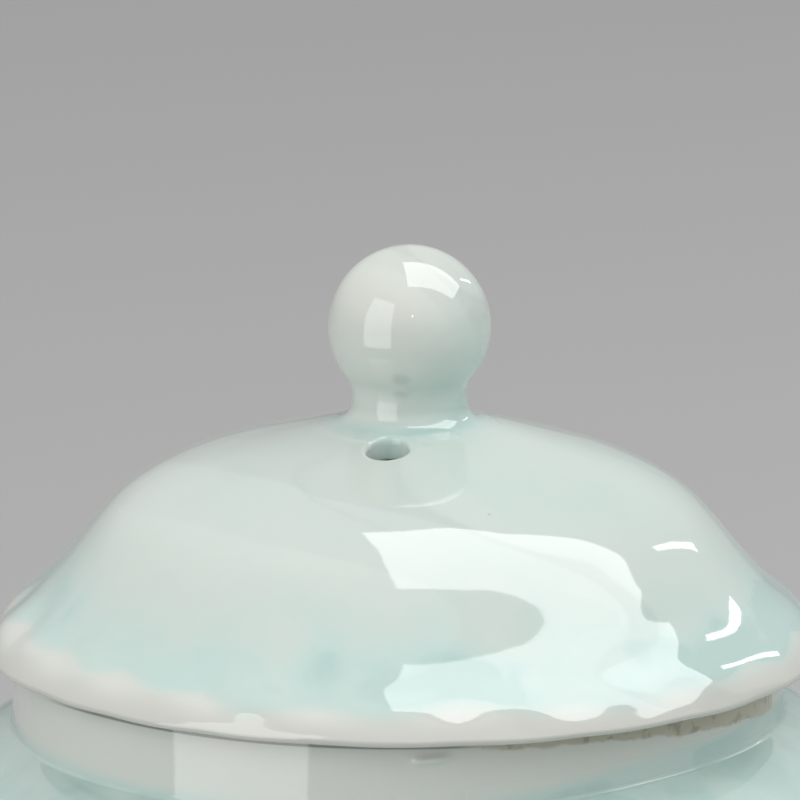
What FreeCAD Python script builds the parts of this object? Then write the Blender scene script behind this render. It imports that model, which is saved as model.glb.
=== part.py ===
import FreeCAD, Part
import math
import os

import Sketcher

# Covered porcelain jar, sizes in millimetres.
# Frame: Z up, origin at the centre of the foot, on the plane the jar stands on.
# Front is -Y. Four clay pieces: the jar, the domed cover, the locating flange
# under the cover and the knob on top of it.

V = FreeCAD.Vector
os.makedirs("parts", exist_ok=True)
doc = FreeCAD.newDocument("covered_jar")

# ------------------------------------------------------------ dimensions
sheet = doc.addObject("Spreadsheet::Sheet", "Dimensions")
CELLS = [
    # jar
    ("MouthTop", 162.0, "top of the neck lip"),
    ("NeckRadius", 49.8, "outside of the neck"),
    ("NeckFillet", 2.8, "outside fillet from neck to shoulder"),
    ("MouthRadius", 45.9, "inside of the mouth"),
    ("InnerFillet", 4.0, "inside rounding from mouth to shoulder"),
    ("LipRound", 1.4, "rounding of the lip"),
    ("BellyRadius", 81.0, "widest outside radius"),
    ("BellyHeight", 102.9, "height of the widest circle"),
    ("ShoulderArc", 51.3, "outside arc above the belly"),
    ("LowerArc", 140.0, "outside arc below the belly"),
    ("WaistArc", 70.0, "hollow arc above the foot"),
    ("WaistRadius", 48.5, "radius where that arc turns upright"),
    ("WallThick", 4.0, "wall of the jar"),
    ("FloorHeight", 8.5, "inside floor"),
    ("FloorFillet", 3.6, "rounding of the inside floor"),
    ("FootTop", 4.2, "where the glazed wall ends above the foot ring"),
    ("FootOuter", 49.0, "outside of the bare foot ring"),
    ("FootBand", 3.5, "height of the bare band"),
    ("FootInner", 43.5, "inside of the foot ring"),
    ("FootRecess", 3.0, "recess inside the foot ring"),
    ("FootDraft", 0.6, "taper of the recess wall"),
    ("FootRound", 1.0, "rounding of the standing edge"),
    # cover
    ("SeatHeight", 162.0, "seat of the cover on the lip"),
    ("RimBottom", 160.0, "lowest plane of the cover's rim"),
    ("RimInner", 51.3, "inside of the rim's drip lip"),
    ("RimRadius", 53.8, "mean outside radius of the rim"),
    ("LobeDepth", 0.40, "depth of the rim's petal lobes"),
    ("LobeStart", 34.0, "radius where the lobes have faded out"),
    ("PadHeight", 29.38, "flat luting pad above the rim plane"),
    ("CrownArc", 34.2, "inside arc of the crown"),
    ("CrownEnd", 10.0, "radius where the crown arc ends"),
    ("CrownTop", 27.59, "inside crown above the rim plane"),
    ("SlopeEnd", 26.0, "radius where the inside slope ends"),
    ("HaunchArc", 26.0, "inside arc of the haunch"),
    ("HaunchEnd", 40.9, "radius where the haunch slope ends"),
    ("SlopeAngle", 17.0, "inside slope near the crown, degrees"),
    ("HaunchAngle", 50.0, "inside slope of the haunch, degrees"),
    ("VentRadius", 2.8, "vent hole"),
    ("VentX", -2.25, "vent centre across"),
    ("VentY", -12.30, "vent centre, front is negative"),
    # flange
    ("FlangeOuter", 45.0, "outside of the locating flange"),
    ("FlangeInner", 42.0, "inside of the locating flange"),
    ("FlangeBottom", 153.0, "lower edge of the flange"),
    ("FlangeTop", 165.0, "luted upper face of the flange"),
    ("FlangeBevel", 0.9, "bevel of the flange's lower edges"),
    # knob
    ("KnobRadius", 10.5, "ball of the knob"),
    ("KnobCentre", 41.8, "ball centre above the rim plane"),
    ("KnobNeck", 7.4, "neck of the knob"),
    ("KnobNeckTop", 33.6, "upper end of the straight neck"),
    ("KnobNeckLow", 32.4, "lower end of the straight neck"),
    ("KnobFlare", 2.9, "hollow flare of the knob's base"),
    ("KnobFoot", 9.4, "spread base of the knob"),
    ("KnobShift", 0.5, "knob off centre, toward +X"),
]
for row, (name, value, note) in enumerate(CELLS, start=1):
    sheet.set("A%d" % row, name)
    sheet.set("B%d" % row, repr(value))
    sheet.set("C%d" % row, note)
    sheet.setAlias("B%d" % row, name)
doc.recompute()


# ------------------------------------------------------------ sizes with text
class Q:
    """A size: its value, and the same formula over the sheet's cells."""

    def __init__(self, value, text):
        self.v = float(value)
        self.t = text

    @staticmethod
    def of(x):
        return x if isinstance(x, Q) else Q(x, repr(float(x)))

    def __add__(self, o):
        o = Q.of(o)
        return Q(self.v + o.v, "(%s + %s)" % (self.t, o.t))

    def __radd__(self, o):
        return Q.of(o) + self

    def __sub__(self, o):
        o = Q.of(o)
        return Q(self.v - o.v, "(%s - %s)" % (self.t, o.t))

    def __rsub__(self, o):
        return Q.of(o) - self

    def __mul__(self, o):
        o = Q.of(o)
        return Q(self.v * o.v, "(%s * %s)" % (self.t, o.t))

    def __rmul__(self, o):
        return Q.of(o) * self

    def __truediv__(self, o):
        o = Q.of(o)
        return Q(self.v / o.v, "(%s / %s)" % (self.t, o.t))


def root(q):
    return Q(math.sqrt(q.v), "sqrt(%s)" % q.t)


def c(name):
    return Q(sheet.get(name), "Dimensions." + name)


def sin_of(name):
    return Q(math.sin(math.radians(float(sheet.get(name)))), "sin(Dimensions.%s * 1 deg)" % name)


def cos_of(name):
    return Q(math.cos(math.radians(float(sheet.get(name)))), "cos(Dimensions.%s * 1 deg)" % name)


# ------------------------------------------------------------ sketch outline
class Outline:
    """A closed outline of lines and arcs, walked point by point.

    Each corner is held by its two coordinates and each arc by its radius, all
    taken from the sheet, which fixes the outline completely.
    """

    def __init__(self, sketch, start):
        self.sk = sketch
        self.first = start
        self.at = start
        self.links = []      # (geometry, position of start, position of end)
        self.points = []     # the point each piece ends on
        self.radii = []

    def line(self, to):
        a, b = self.at, to
        g = self.sk.addGeometry(Part.LineSegment(V(a[0].v, a[1].v, 0), V(b[0].v, b[1].v, 0)), False)
        self.links.append((g, 1, 2))
        self.points.append(to)
        self.at = to

    def arc(self, centre, radius, to, ccw):
        a, b = self.at, to
        cx, cz = centre[0].v, centre[1].v
        a0 = math.atan2(a[1].v - cz, a[0].v - cx)
        a1 = math.atan2(b[1].v - cz, b[0].v - cx)
        lo, hi = (a0, a1) if ccw else (a1, a0)
        while hi <= lo:
            hi += 2 * math.pi
        circle = Part.Circle(V(cx, cz, 0), V(0, 0, 1), radius.v)
        g = self.sk.addGeometry(Part.ArcOfCircle(circle, lo, hi), False)
        self.links.append((g, 1, 2) if ccw else (g, 2, 1))
        self.points.append(to)
        self.radii.append((g, radius))
        self.at = to

    def close(self):
        n = len(self.links)
        for i in range(n):
            g, _, e = self.links[i]
            g2, s2, _ = self.links[(i + 1) % n]
            self.sk.addConstraint(Sketcher.Constraint("Coincident", g, e, g2, s2))
        for i in range(n):
            g, _, e = self.links[i]
            x, z = self.points[i]
            if abs(x.v) < 1e-9:
                self.sk.addConstraint(Sketcher.Constraint("PointOnObject", g, e, -2))
            else:
                k = self.sk.addConstraint(Sketcher.Constraint("DistanceX", -1, 1, g, e, x.v))
                self.sk.renameConstraint(k, "X%d" % i)
                self.sk.setExpression(".Constraints.X%d" % i, x.t)
            if abs(z.v) < 1e-9:
                self.sk.addConstraint(Sketcher.Constraint("PointOnObject", g, e, -1))
            else:
                k = self.sk.addConstraint(Sketcher.Constraint("DistanceY", -1, 1, g, e, z.v))
                self.sk.renameConstraint(k, "Z%d" % i)
                self.sk.setExpression(".Constraints.Z%d" % i, z.t)
        for j, (g, radius) in enumerate(self.radii):
            k = self.sk.addConstraint(Sketcher.Constraint("Radius", g, radius.v))
            self.sk.renameConstraint(k, "Rad%d" % j)
            self.sk.setExpression(".Constraints.Rad%d" % j, radius.t)


def tangent_point(c1, c2, r1, r2):
    """Where two circles that touch from outside meet."""
    f = r1 / (r1 + r2)
    return (c1[0] + (c2[0] - c1[0]) * f, c1[1] + (c2[1] - c1[1]) * f)


def plane(body, role):
    for feature in body.Origin.OriginFeatures:
        if feature.Role == role:
            return feature
    raise RuntimeError("no plane " + role)


def turned(name, draw):
    """A Body turned about the Z axis from one sketch on its XZ plane."""
    body = doc.addObject("PartDesign::Body", name + "_body")
    body.Label = name
    sk = body.newObject("Sketcher::SketchObject", name + "_outline")
    sk.AttachmentSupport = [(plane(body, "XZ_Plane"), "")]
    sk.MapMode = "FlatFace"
    draw(sk)
    rev = body.newObject("PartDesign::Revolution", name + "_turned")
    rev.Profile = sk
    rev.ReferenceAxis = (sk, ["V_Axis"])
    rev.Angle = 360.0
    body.Tip = rev
    doc.recompute()
    return body


ZERO = Q(0.0, "0")

# ------------------------------------------------------------ the jar
# Outside, from the lip down: neck, hollow fillet, shoulder arc, belly arc,
# hollow arc above the foot, foot ring. Each pair of arcs meets tangentially. The inside
# is the same set of arcs, one wall further in.


def draw_jar(sk):
    lip, top = c("LipRound"), c("MouthTop")
    neck, mouth = c("NeckRadius"), c("MouthRadius")
    wall = c("WallThick")
    s_arc, l_arc, w_arc = c("ShoulderArc"), c("LowerArc"), c("WaistArc")
    belly, bz = c("BellyRadius"), c("BellyHeight")
    fil, ifil = c("NeckFillet"), c("InnerFillet")
    sc = (belly - s_arc, bz)
    lc = (belly - l_arc, bz)
    wx = c("WaistRadius") + w_arc
    reach = l_arc + w_arc
    wc = (wx, bz - root(reach * reach - (wx - lc[0]) * (wx - lc[0])))
    # neck fillet, and the point where it leaves the shoulder
    nx = neck + fil
    span = s_arc + fil
    nc = (nx, bz + root(span * span - (nx - sc[0]) * (nx - sc[0])))
    # inner rounding under the mouth
    ix = mouth + ifil
    ispan = s_arc - wall + ifil
    ic = (ix, bz + root(ispan * ispan - (ix - sc[0]) * (ix - sc[0])))

    o = Outline(sk, (neck - lip, top))
    o.arc((neck - lip, top - lip), lip, (neck, top - lip), False)
    o.line((neck, nc[1]))
    o.arc(nc, fil, tangent_point(sc, nc, s_arc, fil), True)
    o.arc(sc, s_arc, (belly, bz), False)
    o.arc(lc, l_arc, tangent_point(lc, wc, l_arc, w_arc), False)
    # hollow arc down to the foot, then the bare foot ring, slightly set in
    foot, fr = c("FootOuter"), c("FootRound")
    rise = c("FootTop") - wc[1]
    o.arc(wc, w_arc, (wx - root(w_arc * w_arc - rise * rise), c("FootTop")), True)
    o.line((foot, c("FootBand")))
    o.line((foot, fr))
    o.arc((foot - fr, fr), fr, (foot - fr, ZERO), False)
    fin = c("FootInner")
    o.line((fin + fr, ZERO))
    o.arc((fin + fr, fr), fr, (fin, fr), False)
    o.line((fin - c("FootDraft"), c("FootRecess")))
    o.line((ZERO, c("FootRecess")))
    o.line((ZERO, c("FloorHeight")))
    # inside, floor upward
    ff = c("FloorFillet")
    iw = w_arc + wall
    fc_z = c("FloorHeight") + ff
    up = fc_z - wc[1]
    fc = (wx - root((iw + ff) * (iw + ff) - up * up), fc_z)
    o.line((fc[0], c("FloorHeight")))
    o.arc(fc, ff, tangent_point(fc, wc, ff, iw), True)
    il = l_arc - wall
    o.arc(wc, iw, tangent_point(lc, wc, il, iw), False)
    o.arc(lc, il, (belly - wall, bz), True)
    ish = s_arc - wall
    o.arc(sc, ish, tangent_point(sc, ic, ish, ifil), True)
    o.arc(ic, ifil, (mouth, ic[1]), False)
    o.line((mouth, top - lip))
    o.arc((mouth + lip, top - lip), lip, (mouth + lip, top), False)
    o.line((neck - lip, top))
    o.close()


jar = turned("jar_body", draw_jar)


# ------------------------------------------------------------ the flange
def draw_flange(sk):
    ro, ri = c("FlangeOuter"), c("FlangeInner")
    lo, hi, bev = c("FlangeBottom"), c("FlangeTop"), c("FlangeBevel")
    o = Outline(sk, (ri, hi))
    o.line((ro, hi))
    o.line((ro, lo + bev))
    o.line((ro - bev, lo))
    o.line((ri + bev, lo))
    o.line((ri, lo + bev))
    o.line((ri, hi))
    o.close()


flange = turned("lid_flange", draw_flange)


# ------------------------------------------------------------ the knob
# Solid ball on a short straight neck that flares into a spread base; drawn
# about its own axis above the rim plane and then set on the pad, off centre.
def draw_knob(sk):
    rb, zb = c("KnobRadius"), c("KnobCentre")
    rn, zt, zl = c("KnobNeck"), c("KnobNeckTop"), c("KnobNeckLow")
    fl, foot, pad = c("KnobFlare"), c("KnobFoot"), c("PadHeight")
    # hollow arc between the ball and the neck: touches both
    drop = zb - zt
    hollow = (rn * rn + drop * drop - rb * rb) / (2.0 * (rb - rn))
    hc = (rn + hollow, zt)
    over = rn + fl - foot
    low = (foot, zl - root(fl * fl - over * over))
    o = Outline(sk, (ZERO, zb + rb))
    o.arc((ZERO, zb), rb, tangent_point((ZERO, zb), hc, rb, hollow), False)
    o.arc(hc, hollow, (rn, zt), True)
    o.line((rn, zl))
    o.arc((rn + fl, zl), fl, low, True)
    o.line((foot, pad))
    o.line((ZERO, pad))
    o.line((ZERO, zb + rb))
    o.close()


knob = turned("lid_knob", draw_knob)
knob.setExpression("Placement.Base.x", "Dimensions.KnobShift")
knob.setExpression("Placement.Base.z", "Dimensions.RimBottom")

# ------------------------------------------------------------ the cover
# Mean outer section (radius, height above the rim plane), rim to crown.
RIM = c("RimRadius").v
SECTION = [
    (RIM - 0.62, 0.00), (RIM - 0.22, 0.18), (RIM - 0.03, 0.50), (RIM - 0.11, 0.92),
    (RIM - 0.45, 1.43), (RIM - 0.80, 1.93), (52.00, 3.17), (50.00, 5.12),
    (47.00, 7.88), (44.00, 11.35), (41.00, 15.07), (38.50, 17.80),
    (36.00, 19.90), (33.00, 21.78), (30.00, 23.24), (26.00, 24.75),
    (22.00, 25.98), (18.00, 27.12), (14.00, 28.26), (10.15, c("PadHeight").v),
]
# The rim is pinched by hand into shallow petals of uneven width: the creases
# between them, in degrees from the front (-Y) toward +X.
CREASES = [-176.0, -158.0, -141.0, -124.0, -107.5, -91.5, -75.0, -58.3, -44.5,
           -29.6, -12.5, 7.6, 24.0, 41.0, 57.0, 75.0, 94.0, 111.0, 129.0, 148.0, 166.0]


def petal(deg):
    """0 in a crease, 1 on the crown of a petal."""
    n = len(CREASES)
    for i in range(n):
        a = CREASES[i]
        b = CREASES[(i + 1) % n] + (360.0 if i == n - 1 else 0.0)
        for d in (deg, deg + 360.0):
            if a <= d < b:
                return math.sin(math.pi * (d - a) / (b - a)) ** 2
    return 0.0


def section_wire(r, z):
    depth, start = c("LobeDepth").v, c("LobeStart").v
    fade = max(0.0, min(1.0, (r - start) / (RIM - start)))
    fade = fade * fade
    pts = []
    n = 126
    for k in range(n):
        deg = -180.0 + 360.0 * k / n
        a = math.radians(deg)
        rr = r + depth * fade * (petal(deg) - 0.5)
        pts.append(V(rr * math.sin(a), -rr * math.cos(a), z))
    curve = Part.BSplineCurve()
    curve.interpolate(Points=pts, PeriodicFlag=True)
    return Part.Wire([curve.toShape()])


skin = doc.addObject("Part::Feature", "lid_outer_skin")
skin.Shape = Part.makeLoft([section_wire(r, z) for r, z in SECTION], True, False)
skin.Placement = FreeCAD.Placement(V(0, 0, c("RimBottom").v), FreeCAD.Rotation())

# The hollow under the cover: crown, slope, haunch, the step that the flange is
# luted into, the seat and the inside of the drip lip.
void_sk = doc.addObject("Sketcher::SketchObject", "lid_hollow_outline")
void_sk.Placement = FreeCAD.Placement(V(0, 0, 0), FreeCAD.Rotation(V(1, 0, 0), 90))
zr = c("RimBottom")
s1, c1 = sin_of("SlopeAngle"), cos_of("SlopeAngle")
s2, c2 = sin_of("HaunchAngle"), cos_of("HaunchAngle")
crown, ce, se = c("CrownArc"), c("CrownEnd"), c("SlopeEnd")
top = zr + c("CrownTop")
crown = ce / s1
p1 = (ce, top - crown + crown * c1)
p2 = (se, p1[1] - (se - ce) * (s1 / c1))
ha = c("HaunchArc")
hc = (se - ha * s1, p2[1] - ha * c1)
p3 = (hc[0] + ha * s2, hc[1] + ha * c2)
p4 = (c("HaunchEnd"), p3[1] - (c("HaunchEnd") - p3[0]) * (s2 / c2))
knee = (c("FlangeInner") - p4[0]) / (1.0 - s2)
p5 = (c("FlangeInner"), p4[1] - knee * c2)
vo = Outline(void_sk, (ZERO, top))
vo.arc((ZERO, top - crown), crown, p1, False)
vo.line(p2)
vo.arc(hc, ha, p3, False)
vo.line(p4)
vo.arc((p5[0] - knee, p5[1]), knee, p5, False)
vo.line((c("FlangeInner"), c("FlangeTop")))
vo.line((c("FlangeOuter"), c("FlangeTop")))
vo.line((c("FlangeOuter"), c("SeatHeight")))
vo.line((c("RimInner"), c("SeatHeight")))
vo.line((c("RimInner"), zr - 5.0))
vo.line((ZERO, zr - 5.0))
vo.line((ZERO, top))
vo.close()
hollow = doc.addObject("Part::Revolution", "lid_hollow")
hollow.Source = void_sk
hollow.Axis = V(0, 0, 1)
hollow.Base = V(0, 0, 0)
hollow.Angle = 360.0
hollow.Solid = True
doc.recompute()

vent = doc.addObject("Part::Cylinder", "vent_bore")
vent.setExpression("Radius", "Dimensions.VentRadius")
vent.Height = 60.0
vent.setExpression("Placement.Base.x", "Dimensions.VentX")
vent.setExpression("Placement.Base.y", "Dimensions.VentY")
vent.setExpression("Placement.Base.z", "Dimensions.RimBottom")

shell = doc.addObject("Part::Cut", "lid_shell")
shell.Base = skin
shell.Tool = hollow
dome = doc.addObject("Part::Cut", "lid_dome_cut")
dome.Base = shell
dome.Tool = vent
dome.Label = "lid_dome"
doc.recompute()

# ------------------------------------------------------------ checks, export
for obj in doc.Objects:
    bad = [s for s in obj.State if s in ("Invalid", "Error")]
    if bad:
        raise RuntimeError("%s is %s" % (obj.Name, bad))
for sk in [o for o in doc.Objects if o.TypeId == "Sketcher::SketchObject"]:
    if sk.solve() != 0:
        raise RuntimeError("sketch does not solve: " + sk.Name)

NODES = [jar, dome, flange, knob]
for obj in NODES:
    shape = obj.Shape
    if shape.isNull() or not shape.isValid() or len(shape.Solids) != 1:
        raise RuntimeError("bad shape: " + obj.Label)
    box = shape.BoundBox
    print("%-11s volume %9.1f mm3  x %.2f..%.2f  y %.2f..%.2f  z %.2f..%.2f" % (
        obj.Label, shape.Volume, box.XMin, box.XMax, box.YMin, box.YMax, box.ZMin, box.ZMax))

# the cuts really took material away
if not shell.Shape.Volume < skin.Shape.Volume - 1000.0:
    raise RuntimeError("the cover was not hollowed")
if not dome.Shape.Volume < shell.Shape.Volume - 20.0:
    raise RuntimeError("the vent was not pierced")

for obj in NODES:
    obj.Shape.exportStep("parts/%s.step" % obj.Label)
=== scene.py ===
import math

import bpy
import numpy as np
from mathutils import Matrix, Vector, geometry


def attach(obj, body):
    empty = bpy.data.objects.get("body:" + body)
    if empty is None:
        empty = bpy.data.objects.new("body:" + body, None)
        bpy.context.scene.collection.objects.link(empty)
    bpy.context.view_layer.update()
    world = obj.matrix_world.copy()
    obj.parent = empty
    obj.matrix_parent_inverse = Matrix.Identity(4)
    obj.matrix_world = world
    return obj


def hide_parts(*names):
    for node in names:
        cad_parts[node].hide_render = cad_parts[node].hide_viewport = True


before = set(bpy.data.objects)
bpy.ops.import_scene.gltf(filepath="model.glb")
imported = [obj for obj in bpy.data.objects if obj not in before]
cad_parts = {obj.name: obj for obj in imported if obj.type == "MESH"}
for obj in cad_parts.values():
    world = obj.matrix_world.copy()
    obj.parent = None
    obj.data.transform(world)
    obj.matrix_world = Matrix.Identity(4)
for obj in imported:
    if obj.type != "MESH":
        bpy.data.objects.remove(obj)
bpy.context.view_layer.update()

# Covered porcelain jar. Lengths in this script are millimetres in the row frame
# (Z up, origin at the centre of the foot); MM turns them into metres.
MM = 0.001
RIM_Z = 160.0          # lowest plane of the lid's rim
KNOB_X = 0.5           # the knob was set half a millimetre off centre
VENT = (-2.25, -12.25)
VENT_R = 2.72          # glazed vent, a little narrower than the bore
rng = np.random.default_rng(41)

# --------------------------------------------------------------- curves
def cubic(xs, ys, x, clamp=None):
    """Natural (or clamped) cubic spline through points, in plain numpy."""
    xs, ys = np.asarray(xs, float), np.asarray(ys, float)
    n = len(xs)
    h = np.diff(xs)
    A = np.zeros((n, n)); b = np.zeros(n)
    A[0, 0] = A[-1, -1] = 1.0
    for i in range(1, n - 1):
        A[i, i - 1], A[i, i], A[i, i + 1] = h[i - 1], 2 * (h[i - 1] + h[i]), h[i]
        b[i] = 6 * ((ys[i + 1] - ys[i]) / h[i] - (ys[i] - ys[i - 1]) / h[i - 1])
    if clamp is not None:
        d0, d1 = clamp
        if d0 is not None:
            A[0, :] = 0; A[0, 0], A[0, 1] = 2 * h[0], h[0]
            b[0] = 6 * ((ys[1] - ys[0]) / h[0] - d0)
        if d1 is not None:
            A[-1, :] = 0; A[-1, -1], A[-1, -2] = 2 * h[-1], h[-1]
            b[-1] = 6 * (d1 - (ys[-1] - ys[-2]) / h[-1])
    m = np.linalg.solve(A, b)
    x = np.asarray(x, float)
    i = np.clip(np.searchsorted(xs, x) - 1, 0, n - 2)
    t0, t1 = x - xs[i], xs[i + 1] - x
    return (m[i] * t1 ** 3 + m[i + 1] * t0 ** 3) / (6 * h[i]) + \
        (ys[i] / h[i] - m[i] * h[i] / 6) * t1 + (ys[i + 1] / h[i] - m[i + 1] * h[i] / 6) * t0


def curve_points(pts, n):
    """Smooth curve through (r, z) points, n points, spaced by arc length."""
    pts = np.asarray(pts, float)
    s = np.concatenate([[0], np.cumsum(np.hypot(*np.diff(pts, axis=0).T))])
    t = np.linspace(0, s[-1], 2000)
    r, z = cubic(s, pts[:, 0], t), cubic(s, pts[:, 1], t)
    q = np.concatenate([[0], np.cumsum(np.hypot(np.diff(r), np.diff(z)))])
    u = np.linspace(0, q[-1], n)
    return np.stack([np.interp(u, q, r), np.interp(u, q, z)], 1)


def arc(cx, cz, rad, a0, a1, n):
    a = np.radians(np.linspace(a0, a1, n))
    return np.stack([cx + rad * np.cos(a), cz + rad * np.sin(a)], 1)


def seg(p, q, n):
    t = np.linspace(0, 1, n)[:, None]
    return np.asarray(p, float) * (1 - t) + np.asarray(q, float) * t


def chain(*parts):
    out = [np.asarray(parts[0], float)]
    for p in parts[1:]:
        p = np.asarray(p, float)
        if np.hypot(*(p[0] - out[-1][-1])) < 1e-3:
            p = p[1:]
        out.append(p)
    return np.concatenate(out)


# --------------------------------------------------------------- soft noise
def waves(seed, count, lo, hi):
    """Directions, phases and wavelengths (mm) of a smooth 3-D ripple."""
    g = np.random.default_rng(seed)
    d = g.normal(size=(count, 3)); d /= np.linalg.norm(d, axis=1)[:, None]
    w = np.exp(g.uniform(np.log(lo), np.log(hi), count))
    return d * (2 * np.pi / w)[:, None], g.uniform(0, 2 * np.pi, count), w / w.mean()


def ripple(p, table):
    k, ph, amp = table
    v = np.zeros(len(p))
    for kk, f, a in zip(k, ph, amp):
        v += a * np.sin(p @ kk + f)
    return v / math.sqrt(len(ph))


SLOW = waves(7, 14, 34.0, 80.0)
MID = waves(11, 18, 13.0, 26.0)
FINE = waves(23, 22, 5.0, 9.0)

# --------------------------------------------------------------- petals of the rim
CREASES = np.array([-176.0, -158.0, -141.0, -124.0, -107.5, -91.5, -75.0, -58.3, -44.5,
                    -29.6, -12.5, 7.6, 24.0, 41.0, 57.0, 75.0, 94.0, 111.0, 129.0, 148.0, 166.0])
PETAL_SIZE = 0.8 + 0.4 * np.random.default_rng(5).random(len(CREASES))


def petal(deg):
    """0 in the crease between two petals, 1 on the crown of a petal."""
    c = np.concatenate([CREASES, [CREASES[0] + 360.0]])
    d = (np.asarray(deg, float) - c[0]) % 360.0 + c[0]
    i = np.clip(np.searchsorted(c, d, side="right") - 1, 0, len(CREASES) - 1)
    t = (d - c[i]) / (c[i + 1] - c[i])
    w = np.sin(np.pi * t) ** 2
    return np.sqrt(w + 0.02) * 0.5 + w * 0.5, PETAL_SIZE[i]


def azimuth(p):
    """Degrees from the front (-Y) toward +X."""
    return np.degrees(np.arctan2(p[:, 0], -p[:, 1]))


# --------------------------------------------------------------- the lid's profile (r, height above RIM_Z)
KB_Z, KB_R = 41.79, 10.49          # ball of the knob
NECK_R, NECK_HI, NECK_LO = 7.40, 32.9, 32.4
HOLLOW = (NECK_R ** 2 + (KB_Z - NECK_HI) ** 2 - KB_R ** 2) / (2 * (KB_R - NECK_R))
FLARE = 3.0
DOME = [(9.50, 29.545), (12.0, 28.829), (14.0, 28.253), (16.0, 27.682), (18.0, 27.116),
        (20.0, 26.552), (22.0, 25.979), (24.0, 25.386), (26.0, 24.751), (28.0, 24.045),
        (30.0, 23.237), (32.0, 22.299), (34.0, 21.203), (36.0, 19.897), (38.0, 18.273),
        (40.0, 16.230), (42.0, 13.850), (44.0, 11.346), (46.0, 8.975), (48.0, 6.900),
        (50.0, 5.140), (51.0, 4.220), (51.5, 3.710), (52.0, 3.170), (52.5, 2.570), (53.0, 1.920), (53.67, 0.90)]
SPLIT_R = 8.2                      # ring where the knob's piece meets the dome's
PATCH_R = 22.0                     # the vented crown is meshed separately inside this ring
RIM_R, ROLL = 53.75, 0.60


def dome_z(r):
    d = np.array(DOME)
    d[:, 1] -= 0.28 * np.exp(-((d[:, 0] - 42.2) / 3.0) ** 2 / 2)
    return cubic(d[:, 0], d[:, 1], r, (-math.tan(math.radians(17.4)), -math.tan(math.radians(60.0))))


def flare_z(r):
    """Height of the lower fillet and the crown outside it."""
    r = np.asarray(r, float)
    cz = NECK_LO - np.sqrt(np.maximum(FLARE ** 2 - (NECK_R + FLARE - r) ** 2, 0.0))
    return np.where(r < 9.50, cz, dome_z(np.maximum(r, 9.50)))


def knob_profile():
    hc = (NECK_R + HOLLOW, NECK_HI)
    a = math.degrees(math.atan2(hc[1] - KB_Z, hc[0]))
    p = chain(arc(0, KB_Z, KB_R, 90, a, 90),
              arc(hc[0], hc[1], HOLLOW, 180 + a, 180, 16),
              seg((NECK_R, NECK_HI), (NECK_R, NECK_LO), 7))
    rr = np.linspace(NECK_R, SPLIT_R, 26)
    t = np.linspace(180, math.degrees(math.atan2(float(flare_z(SPLIT_R)) - NECK_LO, SPLIT_R - NECK_R - FLARE)) % 360, 16)
    return chain(p, arc(NECK_R + FLARE, NECK_LO, FLARE, t[0], t[-1], 16))


def rim_profile():
    """From the crown patch over the haunch, the flare and the rolled rim to the seat and the inside."""
    r = np.linspace(PATCH_R, 53.67, 84)
    top = np.stack([r, dome_z(r)], 1)
    roll = arc(RIM_R - ROLL, ROLL, ROLL, 30, -90, 16)
    roll[0] = top[-1]
    under = chain(seg((RIM_R - ROLL, 0), (52.0, 0.0), 4), arc(52.0, 0.7, 0.7, 270, 180, 7),
                  seg((51.3, 0.7), (51.3, 1.5), 4), arc(50.8, 1.5, 0.5, 0, 90, 5),
                  seg((50.8, 2.0), (45.0, 2.0), 10), seg((45.0, 2.0), (45.0, 5.0), 4),
                  seg((45.0, 5.0), (42.0, 5.0), 4))
    return chain(top, roll, under), len(top) + len(roll) - 1


INNER = [(42.0, 5.0), (42.0, 6.0), (41.98, 7.1), (41.72, 8.54), (40.9, 9.95), (39.6, 11.5), (38.3, 13.05), (36.0, 15.25),
         (33.0, 17.6), (30.0, 19.45), (26.0, 21.2), (22.0, 22.42), (18.0, 23.64), (14.0, 24.86), (10.0, 26.03),
         (7.0, 26.78), (4.0, 27.35), (0.0, 27.59)]


def inner_z(r):
    d = np.array(INNER[::-1][:-4])
    return cubic(d[:, 0], d[:, 1], r, (0.0, None))


# --------------------------------------------------------------- shaping by hand
def smooth01(t):
    t = np.clip(t, 0, 1)
    return t * t * (3 - 2 * t)


LOBE = 0.50     # depth of the petals just above the rim's edge
EDGE = 0.16     # what is left of it at the edge itself
PINCH = 0.10    # how far the edge lifts in a crease


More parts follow.
